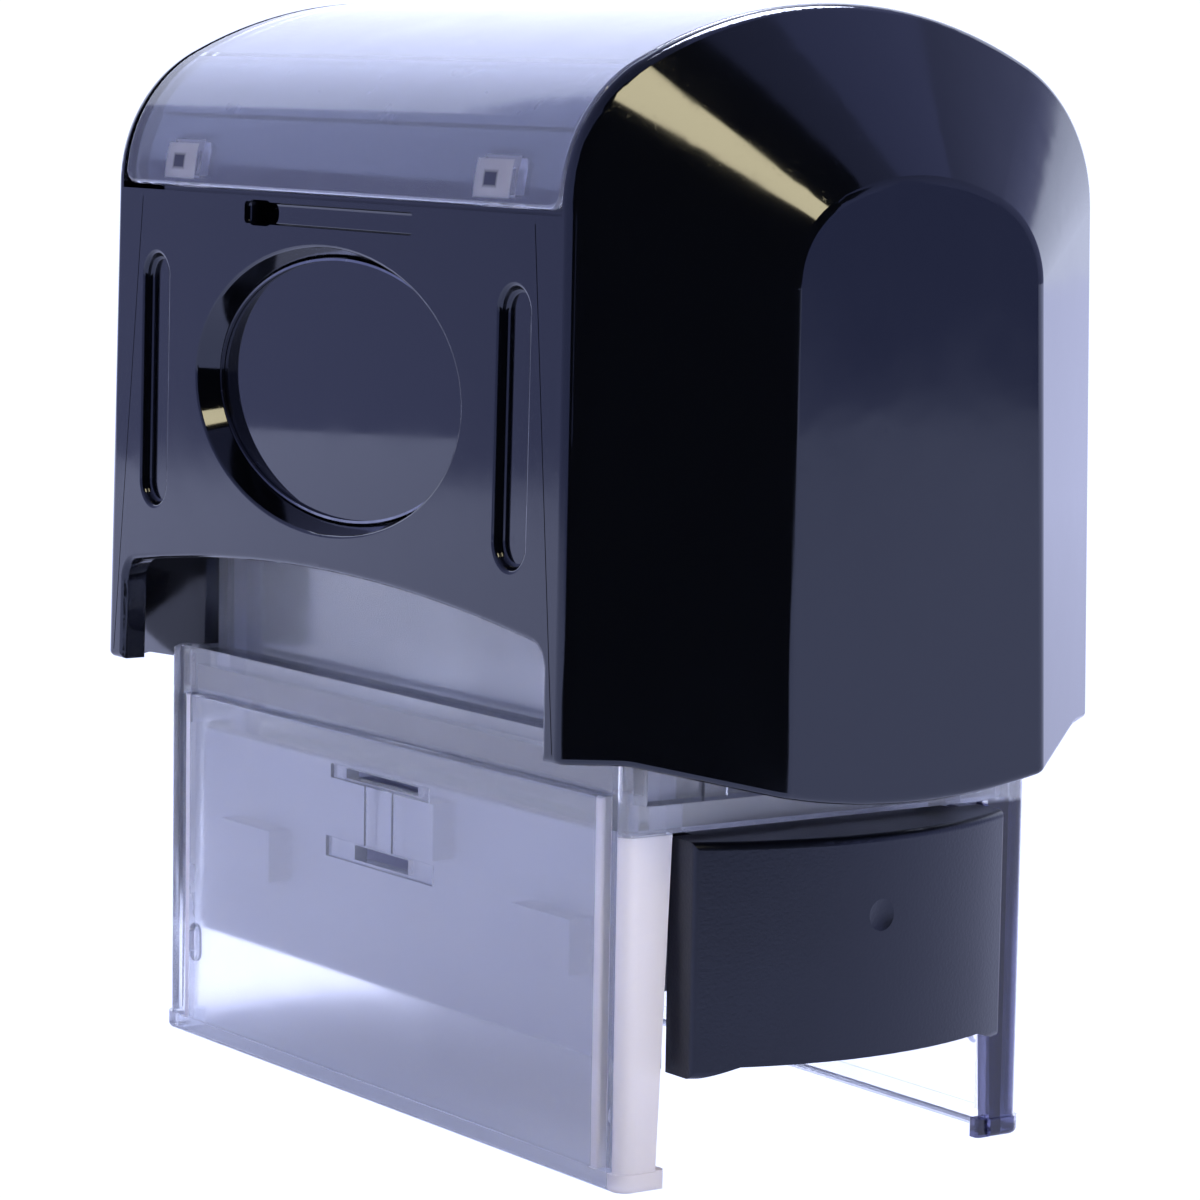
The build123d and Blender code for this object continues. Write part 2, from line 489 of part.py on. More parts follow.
# ---- base frame ----
with BuildPart() as base_frame:
    with BuildSketch(Plane.XY):
        RectangleRounded(BASE_L, BASE_D, BASE_R)
    extrude(amount=LIP)
    with BuildSketch(Plane.XY.offset(LIP)):
        RectangleRounded(BASE_L - 2 * LIP_STEP, BASE_D - 2 * LIP_STEP, BASE_R)
    extrude(amount=SHELF - LIP)
    fillet(base_frame.faces().sort_by(Axis.Z)[0].edges(), radius=RIM_R)
    fillet(base_frame.faces().sort_by(Axis.Z)[-1].edges(), radius=SHELF_R)
    # the ends are cut back above the lintels, down to the tower's plan
    with BuildSketch(Plane.XY.offset(LINTEL)):
        with GridLocations(2 * TOWER_X + LINTEL_CUT, 0, 2, 1):
            Rectangle(LINTEL_CUT, 2 * LINTEL_Y)
    extrude(amount=SHELF, mode=Mode.SUBTRACT)
    with BuildSketch(Plane.XY.offset(END_TOP)):
        RectangleRounded(2 * TOWER_X, 2 * TOWER_Y, TOWER_R)
    extrude(amount=TOWER_TOP - END_TOP)
    # inside of the base, inside of the tower, and the openings in the ends
    with BuildSketch(Plane.XY):
        Rectangle(2 * BASE_END, BASE_D - 2 * LIP_STEP - 2 * BASE_WALL)
    extrude(amount=END_TOP, mode=Mode.SUBTRACT)
    with BuildSketch(Plane.XY.offset(END_TOP)):
        Rectangle(2 * (TOWER_X - TOWER_WALL), BASE_D - 2 * LIP_STEP - 2 * BASE_WALL)
    extrude(amount=SHELF - BASE_WALL - END_TOP, mode=Mode.SUBTRACT)
    with BuildSketch(Plane.XY.offset(SHELF - BASE_WALL)):
        Rectangle(2 * (TOWER_X - TOWER_WALL), 2 * (TOWER_Y - TOWER_WALL))
    extrude(amount=TOWER_TOP - TOWER_DECK - SHELF + BASE_WALL, mode=Mode.SUBTRACT)
    with BuildSketch(Plane.YZ):
        Polygon((-END_HALF, 0), (END_HALF, 0), (END_TOP_HALF, END_TOP), (-END_TOP_HALF, END_TOP), align=None)
    extrude(amount=BASE_L, both=True, mode=Mode.SUBTRACT)
    # slots in the tower's deck for the yoke's end plates
    with BuildSketch(Plane.XY.offset(TOWER_TOP - 2 * TOWER_DECK)):
        with GridLocations(2 * (YOKE_X + YOKE_T / 2), 0, 2, 1):
            Rectangle(YOKE_T + 2 * YOKE_GAP, 2 * (TOWER_Y - TOWER_WALL))
    extrude(amount=3 * TOWER_DECK, mode=Mode.SUBTRACT)
    # posts that centre the springs
    with BuildSketch(Plane.XY.offset(TOWER_TOP - SEAT_ROOT)):
        with GridLocations(2 * SPRING_X, 0, 2, 1):
            Circle(SEAT_R)
    extrude(amount=SEAT_H + SEAT_ROOT)
    # ribs on the tower's ends
    for side in (-1, 1):
        with BuildSketch(Plane.XY.offset(LINTEL)):
            with GridLocations(2 * TOWER_X, 0, 2, 1):
                with Locations((0, side * TOWER_RIB_Y)):
                    Rectangle(2 * TOWER_RIB_H, TOWER_RIB_W)
        extrude(amount=TOWER_TOP - LINTEL)
    # long walls: band set back above the raised panel, grooves beside it
    for side in (-1, 1):
        with BuildSketch(Plane.XY.offset(PANEL_Z)):
            with Locations((0, side * (BASE_D / 2 - LIP_STEP))):
                Rectangle(2 * (PANEL_EDGE + GROOVE_W), 2 * GROOVE_DEPTH)
        extrude(amount=SHELF, mode=Mode.SUBTRACT)
        with BuildSketch(Plane.XY.offset(LIP)):
            with Locations((0, side * (BASE_D / 2 - LIP_STEP))):
                with GridLocations(2 * PANEL_EDGE + GROOVE_W, 0, 2, 1):
                    Rectangle(GROOVE_W, 2 * GROOVE_DEPTH)
        extrude(amount=SHELF, mode=Mode.SUBTRACT)
    # the raised panels' corners and the upper band are softened
    panel_edges = base_frame.edges().filter_by(
        lambda e: abs(abs(e.center().Y) - BASE_D / 2 + LIP_STEP) < NEAR)
    fillet(panel_edges.filter_by(lambda e: 2 * LIP < e.center().Z < PANEL_Z + NEAR), radius=PANEL_R)
    # latch slots in shallow recesses, the tongue between them, and a small obround dimple
    for turn in (0, 180):
        wall = Plane.XZ.rotated((0, 0, turn)).offset(BASE_D / 2 - LIP_STEP)
        for latch_z, recess_w, recess_h, slot_w, slot_h in LATCHES:
            with BuildSketch(wall):
                with Locations((0, latch_z)):
                    Rectangle(recess_w, recess_h)
            extrude(amount=-LATCH_STEP, mode=Mode.SUBTRACT)
            with BuildSketch(wall):
                with Locations((0, latch_z)):
                    Rectangle(slot_w, slot_h)
            extrude(amount=-2 * BASE_WALL, mode=Mode.SUBTRACT)
        tongue_foot, tongue_top = LATCHES[1][0], LATCHES[0][0]
        with BuildSketch(wall):
            with Locations((0, (tongue_foot + tongue_top) / 2)):
                with GridLocations(2 * TONGUE_X, 0, 2, 1):
                    Rectangle(TONGUE_LINE, tongue_top - tongue_foot)
        extrude(amount=-TONGUE_LINE, mode=Mode.SUBTRACT)
        with BuildSketch(wall):
            with Locations((-MARK_X, MARK_Z)):
                SlotOverall(MARK_L, MARK_W, rotation=90)
        extrude(amount=-MARK_DEPTH, mode=Mode.SUBTRACT)
    # feet under the corner posts
    with BuildSketch(Plane.XY):
        with GridLocations(BASE_END + BASE_L / 2 - FOOT_STEP, FOOT_Y + END_HALF + POST_ROOT, 2, 2):
            RectangleRounded(BASE_L / 2 - BASE_END - FOOT_STEP, END_HALF - FOOT_Y + POST_ROOT, FOOT_STEP)
    extrude(amount=LIP)
finish(base_frame.part, "base_frame")

# ---- guide plates, inside the long walls ----
for side, name in ((-1, "guide_plate_front"), (1, "guide_plate_rear")):
    with BuildPart() as guide_plate:
        with BuildSketch(Plane.XY.offset(GUIDE_FOOT)):
            with Locations((0, side * (GUIDE_Y + GUIDE_T / 2))):
                Rectangle(2 * GUIDE_X, GUIDE_T)
        extrude(amount=GUIDE_TOP - GUIDE_FOOT)
        # rails that carry the cassette, broken where the yoke passes
        rail_depth = GUIDE_Y - RAIL_Y
        with BuildSketch(Plane.XY.offset(RAIL_Z - RAIL_T)):
            with Locations((0, side * (GUIDE_Y - rail_depth / 2))):
                Rectangle(2 * GUIDE_X, rail_depth)
                with GridLocations(2 * (YOKE_X + YOKE_T / 2), 0, 2, 1):
                    Rectangle(YOKE_T + 2 * YOKE_GAP, rail_depth, mode=Mode.SUBTRACT)
        extrude(amount=RAIL_T)
        # spacer pads, and the latch block behind the wall's tongue
        pad_depth = BASE_D / 2 - LIP_STEP - BASE_WALL - FIT - GUIDE_Y - GUIDE_T
        with BuildSketch(Plane.XY.offset(PAD_FOOT)):
            with Locations((0, side * (GUIDE_Y + GUIDE_T + pad_depth / 2))):
                with GridLocations(2 * PAD_X, 0, 2, 1):
                    Rectangle(PAD_W, pad_depth)
        extrude(amount=PAD_TOP - PAD_FOOT)
        with BuildSketch(Plane.XY.offset(BLOCK_FOOT)):
            with Locations((0, side * (GUIDE_Y + GUIDE_T + pad_depth / 2))):
                Rectangle(BLOCK_W, pad_depth)
        extrude(amount=BLOCK_TOP - BLOCK_FOOT)
    finish(guide_plate.part, name)


def end_cover(side):
    """Hollow cover that bulges out of the end opening, seen from above as a shallow bow."""
    with BuildPart() as cover:
        for inset, mode in ((0, Mode.ADD), (COVER_T, Mode.SUBTRACT)):
            with BuildSketch(Plane.XY.offset(COVER_FOOT - FLARE + inset)):
                with BuildLine():
                    half = COVER_Y - inset
                    Polyline((side * (COVER_X - inset), half), (side * (COVER_ROOT - inset), half),
                             (side * (COVER_ROOT - inset), -half), (side * (COVER_X - inset), -half))
                    ThreePointArc((side * (COVER_X - inset), -half),
                                  (side * (COVER_X + COVER_BULGE - inset), 0),
                                  (side * (COVER_X - inset), half))
                make_face()
            extrude(amount=COVER_TOP - COVER_FOOT + FLARE - 2 * inset, mode=mode)
            if mode == Mode.ADD:
                outer_edges = cover.edges().filter_by(lambda e: abs(e.center().X) > COVER_X - NEAR)
                fillet(outer_edges, radius=COVER_EDGE_R)
        # lower edge: the corners reach a little further down than the middle
        with BuildSketch(Plane.YZ):
            with BuildLine():
                Polyline((-COVER_Y + FLARE_TIP, COVER_FOOT - FLARE), (-COVER_Y + FLARE_W, COVER_FOOT),
                         (COVER_Y - FLARE_W, COVER_FOOT), (COVER_Y - FLARE_TIP, COVER_FOOT - FLARE),
                         close=True)
            make_face()
        extrude(amount=2 * COVER_X, both=True, mode=Mode.SUBTRACT)
    return cover.part


# ---- fixed cover at the left-hand end, held behind the corner posts ----
with BuildPart() as end_cover_left:
    add(end_cover(-1))
    # bosses that bear on the corner posts
    bearing_y = end_half(PAD_TOP) - FIT
    with BuildSketch(Plane.XY.offset(PAD_FOOT)):
        for side in (-1, 1):
            with Locations((-COVER_ROOT - BEARING / 2, side * (bearing_y + COVER_Y) / 2)):
                Rectangle(BEARING, bearing_y - COVER_Y)
    extrude(amount=PAD_TOP - PAD_FOOT)
finish(end_cover_left.part, "end_cover_left")

# ---- ink cassette: tray with an ink pad underneath, and the grip at its right-hand end ----
with BuildPart() as cassette_grip:
    add(end_cover(1))
    with Locations((COVER_X + COVER_BULGE + DIMPLE_R - DIMPLE_DEPTH, 0, DIMPLE_Z)):
        Sphere(DIMPLE_R, mode=Mode.SUBTRACT)
finish(cassette_grip.part, "cassette_grip")

with BuildPart() as cassette_tray:
    with BuildSketch(Plane.XY.offset(TRAY_BOTTOM)):
        with Locations(((COVER_ROOT - TRAY_END) / 2, 0)):
            Rectangle(TRAY_END + COVER_ROOT, 2 * TRAY_Y)
    extrude(amount=TRAY_TOP - TRAY_BOTTOM)
    # tongue that reaches in under the grip's roof
    with BuildSketch(Plane.XY.offset(TRAY_BOTTOM)):
        with Locations((COVER_ROOT, 0)):
            Rectangle(2 * TONGUE_L, 2 * TRAY_Y)
    extrude(amount=COVER_TOP - COVER_T - TRAY_BOTTOM)
    with BuildSketch(Plane.XY.offset(TRAY_BOTTOM)):
        Rectangle(2 * (FELT_X + TRAY_FIT), 2 * (FELT_Y + TRAY_FIT))
    extrude(amount=PAD_FACE + FELT_T - TRAY_BOTTOM + FIT, mode=Mode.SUBTRACT)
finish(cassette_tray.part, "cassette_tray")

with BuildPart() as ink_pad:
    with BuildSketch(Plane.XY.offset(PAD_FACE)):
        Rectangle(2 * FELT_X, 2 * FELT_Y)
    extrude(amount=FELT_T)
finish(ink_pad.part, "ink_pad")

# ---- drive yoke: two windowed end plates joined by a bridge under the crown ----
with BuildPart() as drive_yoke:
    for side in (-1, 1):
        with BuildSketch(Plane.YZ.offset(side * (YOKE_X + YOKE_T / 2))):
            with Locations((0, (YOKE_FOOT + BRIDGE_Z + BRIDGE_T) / 2)):
                Rectangle(2 * YOKE_Y, BRIDGE_Z + BRIDGE_T - YOKE_FOOT)
            with Locations((0, (WINDOW_FOOT + WINDOW_TOP) / 2)):
                Rectangle(2 * WINDOW_Y, WINDOW_TOP - WINDOW_FOOT, mode=Mode.SUBTRACT)
            with Locations((0, UPPER_WINDOW_Z)):
                RectangleRounded(2 * UPPER_WINDOW_Y, UPPER_WINDOW_H, UPPER_WINDOW_R, mode=Mode.SUBTRACT)
            with Locations((0, AXIS_Z)):
                Circle(PIN_R + RUNNING, mode=Mode.SUBTRACT)
        extrude(amount=YOKE_T / 2, both=True)
    with BuildSketch(Plane.XY.offset(BRIDGE_Z)):
        Rectangle(2 * YOKE_X + YOKE_T, 2 * BRIDGE_Y)
        with GridLocations(2 * BOSS_X, 0, 2, 1):
            Circle(SCREW_R + SCREW_PLAY, mode=Mode.SUBTRACT)
    extrude(amount=BRIDGE_T)
finish(drive_yoke.part, "drive_yoke")

# ---- two pan-head screws that hold the yoke up to the cap's bosses ----
with BuildPart() as yoke_screws:
    with BuildSketch(Plane.XY.offset(BRIDGE_Z - SCREW_HEAD_T)):
        with GridLocations(2 * BOSS_X, 0, 2, 1):
            Circle(SCREW_HEAD_R)
    extrude(amount=SCREW_HEAD_T)
    fillet(yoke_screws.edges().group_by(Axis.Z)[0], radius=SCREW_HEAD_EDGE)
    with BuildSketch(Plane.XY.offset(BRIDGE_Z)):
        with GridLocations(2 * BOSS_X, 0, 2, 1):
            Circle(SCREW_R - FIT)
    extrude(amount=SCREW_L)
    with BuildSketch(Plane.XY.offset(BRIDGE_Z - SCREW_HEAD_T)):
        with GridLocations(2 * BOSS_X, 0, 2, 1):
            Rectangle(CROSS_L, CROSS_W)
            Rectangle(CROSS_W, CROSS_L)
    extrude(amount=CROSS_DEPTH, mode=Mode.SUBTRACT)
finish(yoke_screws.part, "yoke_screws")

# ---- carriage that turns over, with its pins, cushion and rubber text plate ----
CARRIAGE_TOP = AXIS_Z + PLATE_REACH - RUBBER_T - CUSHION_T
with BuildPart() as carriage:
    with BuildSketch(Plane.XY.offset(AXIS_Z - CARRIAGE_BACK)):
        RectangleRounded(2 * CARRIAGE_X, 2 * CARRIAGE_Y, CARRIAGE_R)
    extrude(amount=CARRIAGE_TOP - AXIS_Z + CARRIAGE_BACK)
    # coffers in the back, between ribs
    with BuildSketch(Plane.XY.offset(AXIS_Z - CARRIAGE_BACK)):
        with GridLocations(COFFER_PITCH_X, COFFER_PITCH_Y, 4, 2):
            RectangleRounded(COFFER_PITCH_X - COFFER_RIB, COFFER_PITCH_Y - COFFER_RIB, COFFER_R)
    extrude(amount=COFFER_DEPTH, mode=Mode.SUBTRACT)
    with BuildSketch(Plane.YZ.offset(-CARRIAGE_X)):
        with Locations((0, AXIS_Z)):
            Circle(PIN_R)
    extrude(amount=PIN_L - YOKE_T - PIN_SINK, mode=Mode.SUBTRACT)
    with BuildSketch(Plane.YZ.offset(CARRIAGE_X)):
        with Locations((0, AXIS_Z)):
            Circle(PIN_R)
    extrude(amount=YOKE_T + PIN_SINK - PIN_L, mode=Mode.SUBTRACT)
finish(carriage.part, "carriage")

for side, name in ((-1, "axle_pin_left"), (1, "axle_pin_right")):
    with BuildPart() as axle_pin:
        with BuildSketch(Plane.YZ.offset(side * (YOKE_X + YOKE_T))):
            with Locations((0, AXIS_Z)):
                Circle(PIN_R)
        extrude(amount=-side * PIN_L)
        fillet(axle_pin.faces().sort_by(Axis.X)[-1 if side > 0 else 0].edges(), radius=PIN_R_END)
    finish(axle_pin.part, name)

with BuildPart() as cushion:
    with BuildSketch(Plane.XY.offset(CARRIAGE_TOP)):
        Rectangle(PLATE_L, PLATE_W)
    extrude(amount=CUSHION_T)
finish(cushion.part, "plate_cushion")

with BuildPart() as text_plate:
    with BuildSketch(Plane.XY.offset(CARRIAGE_TOP + CUSHION_T)):
        Rectangle(PLATE_L, PLATE_W)
    extrude(amount=RUBBER_T)
finish(text_plate.part, "text_plate")

# ---- return springs, between the tower's deck and the yoke's bridge ----
spring_foot = TOWER_TOP + SPRING_GAP + WIRE_R
spring_rise = BRIDGE_Z - SPRING_GAP - WIRE_R - spring_foot
for side, name in ((-1, "return_spring_left"), (1, "return_spring_right")):
    with BuildPart() as spring:
        with BuildLine():
            coil = Helix(pitch=spring_rise / TURNS, height=spring_rise, radius=SPRING_R,
                         center=(side * SPRING_X, 0, spring_foot))
        with BuildSketch(Plane(origin=coil @ 0, z_dir=coil % 0)):
            Circle(WIRE_R)
        sweep(path=coil)
    finish(spring.part, name)
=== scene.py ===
from math import cos, pi, radians, sin, tau

import bpy
from mathutils import Matrix, Vector


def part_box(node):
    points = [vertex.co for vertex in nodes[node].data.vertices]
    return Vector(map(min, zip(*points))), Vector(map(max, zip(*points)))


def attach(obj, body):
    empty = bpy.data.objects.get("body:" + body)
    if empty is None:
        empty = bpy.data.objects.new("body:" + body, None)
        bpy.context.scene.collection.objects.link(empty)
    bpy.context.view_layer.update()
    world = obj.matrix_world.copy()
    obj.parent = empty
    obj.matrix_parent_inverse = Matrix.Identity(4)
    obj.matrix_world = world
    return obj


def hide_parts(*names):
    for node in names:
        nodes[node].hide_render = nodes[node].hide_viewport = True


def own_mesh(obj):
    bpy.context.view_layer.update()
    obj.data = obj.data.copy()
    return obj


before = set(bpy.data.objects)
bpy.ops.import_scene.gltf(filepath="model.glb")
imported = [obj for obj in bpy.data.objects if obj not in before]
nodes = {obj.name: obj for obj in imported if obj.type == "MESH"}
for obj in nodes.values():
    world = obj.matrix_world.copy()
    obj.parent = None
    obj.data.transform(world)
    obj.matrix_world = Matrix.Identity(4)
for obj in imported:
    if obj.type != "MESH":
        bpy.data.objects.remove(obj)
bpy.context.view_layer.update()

MM = 0.001

# Sizes shared with the CAD part, in millimetres
SPRING_X = 20.0       # the two springs stand this far left and right of the middle
SPRING_FOOT = 54.1
SPRING_TOP = 75.9
SPRING_R = 3.9        # mean radius
WIRE_R = 0.45

BASE_X, BASE_Y = 36, 20               # just outside the base
POST_X, POST_TOP = 33.7, 27.2         # inner side and top of its corner posts
PANEL_X, PANEL_Y = 31.5, 19.3         # ends of the raised panels on its long walls
SHELF_X = 34                          # half the length of the shelves above those walls
SHELF_IN, SHELF_OUT = 16.8, 18.3
SHELF_FOOT, SHELF_TOP = 30.6, 33.2
HOOK_X, HOOK_Y = 23.7, 23             # middles of the lid's snap hooks
HOOK_FOOT, HOOK_TOP = 75.2, 77.8
NOTCH_FOOT, NOTCH_TOP = 76.0, 76.9    # of the hooks' notches

# Places frosted, as by bead blasting in the mould, and painted pale as a painted highlight, as pairs of
# corners: the front right and rear left corner posts of the base below its lintels, the ends of the two
# raised panels, and the four snap hooks of the lid
FROSTED_HIGHLIGHT_BASE = [((POST_X, -BASE_Y, 0), (BASE_X, 0, POST_TOP)),
                ((-BASE_X, 0, 0), (-POST_X, BASE_Y, POST_TOP))]
FROSTED_HIGHLIGHT_BASE += [((x - 0.3, y - 0.9, 1.6), (x + 0.3, y + 0.9, 30))
                 for x in (-PANEL_X, PANEL_X)
                 for y in (-PANEL_Y, PANEL_Y)]
FROSTED_HIGHLIGHT_HOOKS = [((x - 2.3, y - 5, HOOK_FOOT), (x + 2.3, y + 5, HOOK_TOP))
                 for x in (-HOOK_X, HOOK_X)
                 for y in (-HOOK_Y, HOOK_Y)]

# Places painted dark blue as painted shade: the inner face of the rear right post, the shelves above the
# long walls, and the notches of the hooks
PAINTED_SHADE_BASE = [((33, 15, 0), (BASE_X, 18.9, POST_TOP)),
             ((-SHELF_X, SHELF_IN, SHELF_FOOT), (SHELF_X, SHELF_OUT, SHELF_TOP)),
             ((-SHELF_X, -SHELF_OUT, SHELF_FOOT), (SHELF_X, -SHELF_IN, SHELF_TOP))]
PAINTED_SHADE_NOTCHES = [((x - 1.1, y - 5, NOTCH_FOOT), (x + 0.4, y + 5, NOTCH_TOP))
                for x in (-HOOK_X, HOOK_X)
                for y in (-HOOK_Y, HOOK_Y)]

SOFT_EDGE = 0.3       # how far those places fade out beyond their boxes

ACTIVE_TURNS = 5      # turns of a spring between its closed ends
CLOSED_TURNS = 1      # at each end, lying on the next turn
STEPS_PER_TURN = 24


# ---------------------------------------------------------------- helpers

def linear(hex_colour):
    """An sRGB hex colour as linear RGBA."""
    levels = [int(hex_colour[i:i + 2], 16) / 255 for i in (1, 3, 5)]
    return (*(v / 12.92 if v <= 0.04045 else ((v + 0.055) / 1.055) ** 2.4 for v in levels), 1.0)


def per(size_mm):
    """Pattern scale for Object coordinates in metres, from the size of one feature in millimetres."""
    return 1.0 / (size_mm * MM)


def put(tree, kind, values=None, wires=None, **settings):
    """Adds a node with its settings, socket values and links."""
    made = tree.nodes.new("ShaderNode" + kind)
    for name, value in settings.items():
        setattr(made, name, value)
    for name, value in (values or {}).items():
        made.inputs[name].default_value = value
    for name, source in (wires or {}).items():
        tree.links.new(source, made.inputs[name])
    return made


def blank_material(name):
    """A new material with only its output, and the tree to build in."""
    made = bpy.data.materials.new(name)
    made.use_nodes = True
    made.node_tree.nodes.clear()
    tree = made.node_tree
    return made, tree, put(tree, "OutputMaterial")


def speckle(tree, size_mm, low, high, detail=3.0, squeeze=(1, 1, 1)):
    """Soft noise with features of this size, remapped to run from low to high; the noise itself
    hardly leaves 0.3 to 0.7."""
    place = put(tree, "TexCoord")
    squeezed = put(tree, "Mapping", {"Scale": squeeze}, {"Vector": place.outputs["Object"]})
    noise = put(tree, "TexNoise", {"Scale": per(size_mm), "Detail": detail},
                {"Vector": squeezed.outputs["Vector"]})
    spread = put(tree, "MapRange", {"From Min": 0.3, "From Max": 0.7, "To Min": low, "To Max": high},
                 {"Value": noise.outputs["Fac"]})
    return spread.outputs["Result"]


def dress(node, material):
    """Gives a carried-over node its finish."""
    for holder in nodes[node].material_slots:
        holder.material = material


# ---------------------------------------------------------------- finishes

def gloss_black_abs():
    """High-gloss black ABS from a polished mould: deep blue-black and mirror-like, with faint
    waves, handling haze and sparse dust that only show in the reflections. Real dust is a tenth
    of a millimetre, and is drawn about three times as coarse so that it shows."""
    made, tree, out = blank_material("gloss black ABS")
    haze = speckle(tree, 9.0, 0.05, 0.11)
    dust = speckle(tree, 0.35, -1.2, 0.13, 1.0)
    rough = put(tree, "Math", {}, {0: haze, 1: dust}, operation="MAXIMUM")
    waves = speckle(tree, 3.2, 0.0, 1.0, 1.0)
    bump = put(tree, "Bump", {"Strength": 0.03, "Distance": 0.06 * MM}, {"Height": waves})
    shader = put(tree, "BsdfPrincipled",
                 {"Base Color": linear("#050609"), "IOR": 1.6, "Specular Tint": linear("#e0e8ff")},
                 {"Roughness": rough.outputs[0], "Normal": bump.outputs["Normal"]})
    tree.links.new(shader.outputs[0], out.inputs["Surface"])
    return made


def satin_plastic(name, tone, rough_low, rough_high, relief):
    """Plastic from a spark-eroded mould: an even satin grain. The real grain is under a tenth of a
    millimetre, and is drawn as a quarter of a millimetre so that it shows."""
    made, tree, out = blank_material(name)
    grain = speckle(tree, 0.28, 0.0, 1.0, 2.0)
    wipe = speckle(tree, 12.0, rough_low, rough_high)
    bump = put(tree, "Bump", {"Strength": relief, "Distance": 0.03 * MM}, {"Height": grain})
    shader = put(tree, "BsdfPrincipled",
                 {"Base Color": linear(tone), "IOR": 1.53, "Specular Tint": linear("#dce5ff")},
                 {"Roughness": wipe, "Normal": bump.outputs["Normal"]})
    tree.links.new(shader.outputs[0], out.inputs["Surface"])
    return made


def inside_boxes(tree, boxes):
    """1 inside any of these boxes and 0 outside, with a soft edge; corners in millimetres."""
    place = put(tree, "TexCoord")
    masks = []
    for low, high in boxes:
        middle = (Vector(low) + Vector(high)) / 2 * MM
        half = (Vector(high) - Vector(low)) / 2 * MM
        offset = put(tree, "VectorMath", {1: middle}, {0: place.outputs["Object"]}, operation="SUBTRACT")
        reach = put(tree, "VectorMath", {}, {0: offset.outputs[0]}, operation="ABSOLUTE")
        past = put(tree, "VectorMath", {1: half}, {0: reach.outputs[0]}, operation="SUBTRACT")
        axes = put(tree, "SeparateXYZ", {}, {"Vector": past.outputs[0]})
        sideways = put(tree, "Math", {}, {0: axes.outputs["X"], 1: axes.outputs["Y"]}, operation="MAXIMUM")
        furthest = put(tree, "Math", {}, {0: sideways.outputs[0], 1: axes.outputs["Z"]}, operation="MAXIMUM")
        inside = put(tree, "MapRange", {"From Min": SOFT_EDGE * MM, "From Max": 0.0},
                     {"Value": furthest.outputs[0]})
        masks.append(inside.outputs["Result"])
    joined = masks[0]
    for mask in masks[1:]:
        joined = put(tree, "Math", {}, {0: joined, 1: mask}, operation="MAXIMUM").outputs[0]
    return joined


def clear_styrene(name, tint, clear, haze_low, haze_high, frosted_highlight, frosted_highlight_clear, painted_shade):
    """Injection-moulded clear styrene: see-through with a smoky lavender cast, a milky haze and faint flow
    waves a few millimetres long. Inside the frosted boxes it is rougher and less clear, as if bead blasting
    had frosted it, and painted pale as a painted highlight; inside the shaded boxes it is painted dark blue
    as painted shade."""
    made, tree, out = blank_material(name)
    haze = speckle(tree, 7.0, haze_low, haze_high)
    flow = speckle(tree, 5.0, 0.0, 1.0, 1.0, (1, 1, 0.3))
    bump = put(tree, "Bump", {"Strength": 0.05, "Distance": 0.1 * MM}, {"Height": flow})
    frost_and_highlight = inside_boxes(tree, frosted_highlight)
    rough = put(tree, "MapRange", {"To Max": 0.5}, {"Value": frost_and_highlight, "To Min": haze})
    through = put(tree, "MapRange", {"To Min": clear, "To Max": frosted_highlight_clear}, {"Value": frost_and_highlight})
    tone = put(tree, "ValToRGB", {}, {"Fac": frost_and_highlight})
    tone.color_ramp.elements[0].color = linear(tint)
    # The pale colour in the frosted boxes is a painted highlight
    tone.color_ramp.elements[1].color = linear("#f6f4fc")
    # The dark blue mixed in inside the shaded boxes is painted shade
    colour = put(tree, "MixRGB", {"Color2": linear("#1c1e40")},
                 {"Fac": inside_boxes(tree, painted_shade), "Color1": tone.outputs["Color"]})
    shader = put(tree, "BsdfPrincipled", {"IOR": 1.57},
                 {"Base Color": colour.outputs["Color"], "Roughness": rough.outputs["Result"],
                  "Transmission Weight": through.outputs["Result"], "Normal": bump.outputs["Normal"]})
    tree.links.new(shader.outputs[0], out.inputs["Surface"])
    return made


def polished_disc():
    """Cast black acrylic, polished flat as glass: a clean dark mirror with patches of faint haze."""
    made, tree, out = blank_material("polished black acrylic")
    haze = speckle(tree, 6.0, 0.02, 0.05)
    shader = put(tree, "BsdfPrincipled",
                 {"Base Color": linear("#06070b"), "IOR": 1.62, "Specular Tint": linear("#e0e8ff")},
                 {"Roughness": haze})
    tree.links.new(shader.outputs[0], out.inputs["Surface"])
    return made


def dark_chrome():
    """Dark chrome trim: a thin plated edge with a soft brushed sheen."""
    made, tree, out = blank_material("dark chrome trim")
    haze = speckle(tree, 1.2, 0.12, 0.3)
    shader = put(tree, "BsdfPrincipled",
                 {"Base Color": linear("#7c7f8c"), "Metallic": 1.0},
                 {"Roughness": haze})
    tree.links.new(shader.outputs[0], out.inputs["Surface"])
    return made


def coated_card():
    """Dark blue coated card under the lid: smooth, with the faint mottle of calendered paper."""
    made, tree, out = blank_material("dark coated card")
    mottle = speckle(tree, 1.6, 0.0, 1.0, 4.0)
    tone = put(tree, "ValToRGB", {}, {"Fac": mottle})
    tone.color_ramp.elements[0].color = linear("#1d2138")
    tone.color_ramp.elements[1].color = linear("#242843")
    sheen = speckle(tree, 1.6, 0.22, 0.28)
    shader = put(tree, "BsdfPrincipled", {"IOR": 1.5},
                 {"Base Color": tone.outputs["Color"], "Roughness": sheen})
    tree.links.new(shader.outputs[0], out.inputs["Surface"])
    return made


